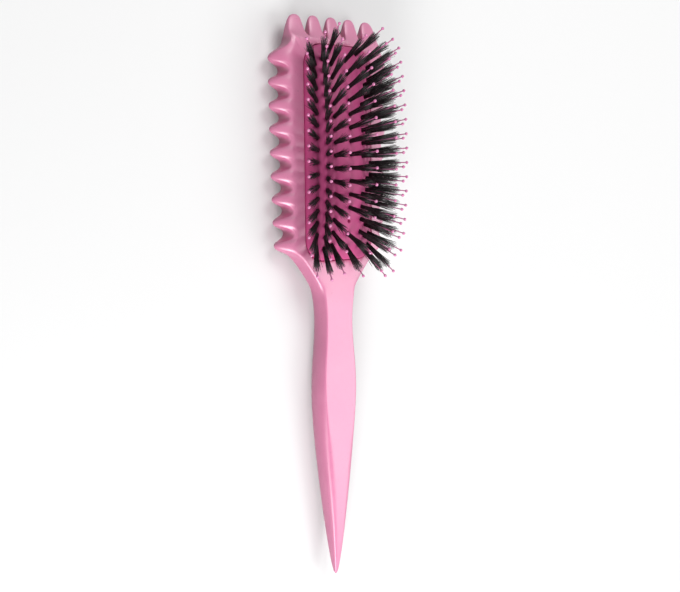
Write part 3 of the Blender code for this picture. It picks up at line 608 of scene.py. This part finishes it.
def build_cushion():
    """Make the air cushion's skin on a fine grid that follows its outline, and close it below."""
    sockets = [(x, places) for _, x, places, _ in list_rows()]
    middle = (PAD_TOP - PAD_BOTTOM) / 2
    half_length = (PAD_TOP + PAD_BOTTOM) / 2
    columns = 2 * round(PAD_HALF_WIDTH / SKIN_STEP)
    lines = 2 * round(half_length / SKIN_STEP)
    builder = bmesh.new()
    grid = []
    for row in range(lines + 1):
        y = middle + half_length * math.sin(math.pi / 2 * (2 * row / lines - 1))
        over = max(0.0, abs(y - middle) - (half_length - PAD_CORNER_RADIUS))
        round_in = PAD_CORNER_RADIUS - math.sqrt(max(0.0, PAD_CORNER_RADIUS ** 2 - over ** 2))
        wide = PAD_HALF_WIDTH - round_in
        line = []
        for column in range(columns + 1):
            x = wide * math.sin(math.pi / 2 * (2 * column / columns - 1))
            line.append(builder.verts.new((x, y, skin_height(x, y, sockets))))
        grid.append(line)
    for near, far in zip(grid, grid[1:]):
        for i in range(columns):
            builder.faces.new((near[i], near[i + 1], far[i + 1], far[i]))
    border = [edge for edge in builder.edges if edge.is_boundary]
    skirt = bmesh.ops.extrude_edge_only(builder, edges=border)["geom"]
    for item in skirt:
        if isinstance(item, bmesh.types.BMVert):
            item.co.z = CUSHION_FOOT
    bmesh.ops.holes_fill(builder, edges=[edge for edge in builder.edges if edge.is_boundary])
    cushion = object_from(builder, "air_cushion")
    vent_y = row_places(len(ROW_TUFT_COUNTS) - 1)[VENT_TUFT_COUNT]
    vent = bmesh.new()
    place = Matrix.Translation((0.0, vent_y, crown(0.0, vent_y)))
    bmesh.ops.create_cone(vent, cap_ends=True, segments=VENT_SIDES, radius1=VENT_RADIUS,
                          radius2=VENT_RADIUS, depth=2 * VENT_DEPTH, matrix=place)
    cut_away(cushion, object_from(vent, "vent_cutter"))
    return cushion


# Tufts and pins

def pointing_at(y, turn):
    """Give the way that a tuft at y points: it tilts with its row and fans out along the brush.

    Near the handle the fan opens faster, and the rows tilt less.
    """
    foot = max(0.0, (-FOOT_FAN_START - y) / (PAD_BOTTOM - FOOT_FAN_START)) ** 2
    lean = (y - FAN_CENTRE) / FAN_RADIUS - FOOT_FAN_LEAN * foot
    tilt = turn * (1 - FOOT_FAN_TILT_SHARE * foot)
    return Vector((math.sin(tilt) * math.cos(lean), math.sin(lean),
                   math.cos(tilt) * math.cos(lean)))


def tuft_frame(x, y, turn):
    """Give a tuft's root, its way, and two ways square to it."""
    way = pointing_at(y, turn)
    side = way.cross(Vector((0.0, 1.0, 0.0))).normalized()
    return Vector((x, y, crown(x, y))), way, side, way.cross(side)


def grow_tube(builder, previous, middle, radius, side, other, sides):
    """Add a ring to a tube: join it to the ring before, or close it if it is the first."""
    ring = []
    for corner in range(sides):
        angle = 2 * math.pi * corner / sides
        offset = side * math.cos(angle) + other * math.sin(angle)
        ring.append(builder.verts.new(middle + offset * radius))
    if previous:
        for i in range(sides):
            j = (i + 1) % sides
            builder.faces.new((previous[i], previous[j], ring[j], ring[i]))
    else:
        builder.faces.new(reversed(ring))
    return ring


def add_hair(builder, root, way, bend, length, radius):
    """Add one hair as a thin tapered tube that bends away as it rises."""
    side = way.orthogonal().normalized()
    other = way.cross(side)
    ring = None
    for along, thin in HAIR_STATION_SHARES:
        middle = root + way * length * along + bend * along ** 2
        ring = grow_tube(builder, ring, middle, radius * thin, side, other, HAIR_SIDES)
    builder.faces.new(ring)


def build_tufts(row, seed):
    """Make one row of tufts, each a tight bundle of hairs that flares towards its tips."""
    name, x, places, turn = row
    chance = random.Random(seed)
    builder = bmesh.new()
    golden = math.pi * (3 - math.sqrt(5))
    for y in places:
        root, way, side, other = tuft_frame(x, y, turn)
        for hair in range(HAIRS_PER_TUFT):
            share = math.sqrt((hair + 0.5) / HAIRS_PER_TUFT)
            angle = golden * hair + chance.uniform(-HAIR_TURN_SPREAD, HAIR_TURN_SPREAD)
            outward = side * math.cos(angle) + other * math.sin(angle)
            start = root + outward * TUFT_ROOT_RADIUS * share - way * HAIR_BURIAL
            uneven = chance.uniform(*HAIR_LENGTH_SPREAD)
            reach = TUFT_LENGTH * (1 - OUTER_HAIR_LOSS * share ** 2 + uneven)
            widening = (TUFT_TIP_RADIUS - TUFT_ROOT_RADIUS) * share
            flare = widening * chance.uniform(*HAIR_FLARE_SPREAD)
            stray = side * chance.gauss(0, HAIR_STRAY) + other * chance.gauss(0, HAIR_STRAY)
            add_hair(builder, start, way, outward * flare + stray, reach + HAIR_BURIAL,
                     HAIR_RADIUS * chance.uniform(*HAIR_RADIUS_SPREAD))
    return object_from(builder, "tufts_" + name)


def pin_profile():
    """Radius and height of a ball pin, from its root to its tip."""
    neck = PIN_LENGTH - 2 * BALL_RADIUS
    centre = PIN_LENGTH - BALL_RADIUS
    start = math.asin(PIN_NECK_RADIUS / BALL_RADIUS)
    points = [(PIN_ROOT_RADIUS, -HAIR_BURIAL), (PIN_ROOT_RADIUS, 0.0), (PIN_NECK_RADIUS, neck / 2)]
    for ring in range(BALL_RINGS):
        angle = start + (math.pi - start) * ring / BALL_RINGS
        points.append((BALL_RADIUS * math.sin(angle), centre - BALL_RADIUS * math.cos(angle)))
    return points


def build_pins(row):
    """Make one row of ball pins, one in the middle of each tuft."""
    name, x, places, turn = row
    builder = bmesh.new()
    for y in places:
        root, way, side, other = tuft_frame(x, y, turn)
        normal = Vector((x, 0.0, PAD_HALF_WIDTH)).normalized()
        root = root - normal * PIN_SINK
        ring = None
        for radius, height in pin_profile():
            ring = grow_tube(builder, ring, root + way * height, radius, side, other, PIN_SIDES)
        tip = builder.verts.new(root + way * PIN_LENGTH)
        for i in range(PIN_SIDES):
            builder.faces.new((ring[i], ring[(i + 1) % PIN_SIDES], tip))
    return object_from(builder, "pins_" + name)


# Materials

def new_material(name, colour, roughness):
    """Make a Principled material and give its node tree and shader."""
    material = bpy.data.materials.new(name)
    material.use_nodes = True
    shader = material.node_tree.nodes["Principled BSDF"]
    shader.inputs["Base Color"].default_value = (*colour, 1.0)
    shader.inputs["Roughness"].default_value = roughness
    return material, material.node_tree, shader


def node(tree, kind, **values):
    """Add a node and set its inputs by name."""
    made = tree.nodes.new(kind)
    for name, value in values.items():
        made.inputs[name.replace("_", " ")].default_value = value
    return made


def mix_colour(tree, factor, first, second):
    """Mix two colours by a factor; any of the three may be a socket or a value."""
    mix = tree.nodes.new("ShaderNodeMix")
    mix.data_type = "RGBA"
    for socket, value in ((mix.inputs[0], factor), (mix.inputs[6], first), (mix.inputs[7], second)):
        if isinstance(value, bpy.types.NodeSocket):
            tree.links.new(value, socket)
        else:
            socket.default_value = (*value, 1.0) if isinstance(value, tuple) else value
    return mix.outputs[2]


def value_range(tree, value, low, high, to_low, to_high):
    """Map a value from one range to another."""
    mapped = tree.nodes.new("ShaderNodeMapRange")
    tree.links.new(value, mapped.inputs["Value"])
    ends = {"From Min": low, "From Max": high, "To Min": to_low, "To Max": to_high}
    for name, number in ends.items():
        mapped.inputs[name].default_value = number
    return mapped.outputs["Result"]


def noises(tree, *settings):
    """Add noise textures over a piece's own coordinates, and list their values."""
    place = tree.nodes.new("ShaderNodeTexCoord").outputs["Object"]
    values = []
    for scale, detail in settings:
        texture = node(tree, "ShaderNodeTexNoise", Scale=scale, Detail=detail)
        tree.links.new(place, texture.inputs["Vector"])
        values.append(texture.outputs["Fac"])
    return values


def combine(tree, operation, first, second):
    """Combine two values by an operation of the Math node."""
    made = tree.nodes.new("ShaderNodeMath")
    made.operation = operation
    tree.links.new(first, made.inputs[0])
    tree.links.new(second, made.inputs[1])
    return made.outputs["Value"]


def bump(tree, shader, height, strength):
    """Drive a shader's normal by a height."""
    made = node(tree, "ShaderNodeBump", Strength=strength, Distance=GRAIN_DEPTH)
    tree.links.new(height, made.inputs["Height"])
    tree.links.new(made.outputs["Normal"], shader.inputs["Normal"])


def speckled_plastic():
    """Satin pink plastic with fine darker flecks and a faint mottle."""
    material, tree, shader = new_material("speckled_pink_plastic", PINK, 0.40)
    shader.inputs["IOR"].default_value = 1.55
    shader.inputs["Specular IOR Level"].default_value = 1.0
    shader.inputs["Coat Weight"].default_value = 0.4
    shader.inputs["Coat Roughness"].default_value = 0.34
    mottle, flecks, grain = noises(tree, (90.0, 3.0), (1400.0, 2.0), (3200.0, 2.0))
    base = mix_colour(tree, value_range(tree, mottle, 0.35, 0.65, 0.0, 1.0), *PINK_CLOUDS)
    specks = value_range(tree, flecks, 0.66, 0.74, 0.0, FLECK_STRENGTH)
    tree.links.new(mix_colour(tree, specks, base, PINK_FLECK), shader.inputs["Base Color"])
    tree.links.new(value_range(tree, mottle, 0.3, 0.7, 0.36, 0.44), shader.inputs["Roughness"])
    bump(tree, shader, grain, 0.12)
    return material


def soft_rubber():
    """Matt magenta rubber with a fine bloom."""
    material, tree, shader = new_material("magenta_rubber", MAGENTA, 0.50)
    bloom, grain = noises(tree, (160.0, 4.0), (2600.0, 2.0))
    clouds = value_range(tree, bloom, 0.35, 0.65, 0.0, 1.0)
    tree.links.new(mix_colour(tree, clouds, *MAGENTA_CLOUDS), shader.inputs["Base Color"])
    tree.links.new(value_range(tree, bloom, 0.3, 0.7, 0.45, 0.55), shader.inputs["Roughness"])
    bump(tree, shader, grain, 0.15)
    return material


def black_bristle():
    """Coarse black hair, a little browner here and there."""
    material, tree, shader = new_material("black_bristle", BLACK, 0.50)
    strands, = noises(tree, (700.0, 2.0))
    share = value_range(tree, strands, 0.45, 0.75, 0.0, 1.0)
    tree.links.new(mix_colour(tree, share, *BLACK_CLOUDS), shader.inputs["Base Color"])
    return material


def rose_nylon():
    """Glossy pink nylon that is a little clearer in some places than in others."""
    material, tree, shader = new_material("rose_nylon", ROSE, 0.22)
    cast, = noises(tree, (300.0, 2.0))
    tree.links.new(mix_colour(tree, cast, *ROSE_CLOUDS), shader.inputs["Base Color"])
    shader.inputs["Subsurface Weight"].default_value = 0.3
    shader.inputs["Subsurface Radius"].default_value = (0.001, 0.0005, 0.0007)
    shader.inputs["Coat Weight"].default_value = 0.3
    return material


# Stage

def seen_directly(tree):
    """Give 1 for rays that show a thing to the camera, in a gloss or through a clear piece."""
    path = tree.nodes.new("ShaderNodeLightPath")
    seen = path.outputs["Is Camera Ray"]
    for kind in ("Is Glossy Ray", "Is Transmission Ray"):
        seen = combine(tree, "MAXIMUM", seen, path.outputs[kind])
    return seen


def build_floor():
    """Lay a plain white floor that keeps the brush's shadow and stays white far from the lamps."""
    builder = bmesh.new()
    bmesh.ops.create_grid(builder, x_segments=1, y_segments=1, size=FLOOR_HALF_SIZE)
    floor = object_from(builder, "floor")
    floor.location = (BRUSH_MIDDLE[0], BRUSH_MIDDLE[1], -FLOOR_DROP)
    material, tree, shader = new_material("white_floor", FLOOR_COLOUR, FLOOR_ROUGHNESS)
    shader.inputs["Specular IOR Level"].default_value = 0.0
    glow = node(tree, "ShaderNodeEmission", Strength=1.0)
    seen = seen_directly(tree)
    colour = mix_colour(tree, seen, FLOOR_BOUNCE, FLOOR_SEEN)
    tree.links.new(colour, shader.inputs["Base Color"])
    spot = tree.nodes.new("ShaderNodeTexCoord").outputs["Object"]
    distance = tree.nodes.new("ShaderNodeVectorMath")
    distance.operation = "LENGTH"
    tree.links.new(spot, distance.inputs[0])
    whiter = value_range(tree, distance.outputs["Value"], FLOOR_LIT_REACH, FLOOR_WHITE_REACH,
                         FLOOR_WHITE_SHARE, 1.0)
    mix = tree.nodes.new("ShaderNodeMixShader")
    tree.links.new(combine(tree, "MULTIPLY", whiter, seen), mix.inputs[0])
    tree.links.new(shader.outputs["BSDF"], mix.inputs[1])
    tree.links.new(glow.outputs["Emission"], mix.inputs[2])
    tree.links.new(mix.outputs["Shader"], tree.nodes["Material Output"].inputs["Surface"])
    floor.data.materials.append(material)


def add_lamp(name, way, size, power):
    """Hang an area lamp that looks at the brush from a direction."""
    data = bpy.data.lights.new(name, "AREA")
    data.shape = "RECTANGLE"
    data.size, data.size_y = size
    data.energy = power
    lamp = bpy.data.objects.new(name, data)
    direction = Vector(way).normalized()
    lamp.location = Vector(BRUSH_MIDDLE) + direction * LAMP_DISTANCE
    lamp.rotation_euler = direction.to_track_quat("Z", "Y").to_euler()
    bpy.context.scene.collection.objects.link(lamp)


def build_world():
    """Light the scene a little from all round; the camera sees plain white."""
    world = bpy.data.worlds.new("studio")
    bpy.context.scene.world = world
    world.use_nodes = True
    tree = world.node_tree
    background = tree.nodes["Background"]
    background.inputs["Color"].default_value = (1.0, 1.0, 1.0, 1.0)
    strength = value_range(tree, seen_directly(tree), 0.0, 1.0, WORLD_STRENGTH, 1.0)
    tree.links.new(strength, background.inputs["Strength"])


def add_camera():
    """Set the camera where the photograph was taken."""
    data = bpy.data.cameras.new("camera")
    data.sensor_fit = "HORIZONTAL"
    data.sensor_width = SENSOR_WIDTH
    data.lens = FOCAL_LENGTH
    data.clip_start = NEAR_CLIP
    camera = bpy.data.objects.new("camera", data)
    right = Vector(CAMERA_RIGHT).normalized()
    up = -Vector(CAMERA_DOWN)
    back = right.cross(up).normalized()
    up = back.cross(right)
    turn = Matrix((right, up, back)).transposed()
    camera.matrix_world = Matrix.Translation(CAMERA_PLACE) @ turn.to_4x4()
    bpy.context.scene.collection.objects.link(camera)
    bpy.context.scene.camera = camera


def finish_piece(piece, material, slot, *replaced):
    """Dress a piece, let it ride, and hide the parts that it replaces."""
    piece.data.materials.clear()
    piece.data.materials.append(material)
    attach(piece, BODY)
    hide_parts(*replaced)


def main():
    """Build the stage and every piece of the brush."""
    add_camera()
    build_floor()
    build_world()
    for lamp in LAMPS:
        add_lamp(*lamp)
    pink = speckled_plastic()
    rubber = soft_rubber()
    black = black_bristle()
    nylon = rose_nylon()
    finish_piece(build_body(), pink, "body_pink", "brush_body")
    cushion = build_cushion()
    finish_piece(cushion, rubber, "cushion_magenta", "cushion_pad")
    for seed, row in enumerate(list_rows(), start=1):
        finish_piece(build_tufts(row, seed), black, "bristle_black", "bristle_" + row[0])
        finish_piece(build_pins(row), nylon, "pin_rose", "pin_" + row[0])


main()
bpy.context.scene.view_settings.view_transform = "Standard"
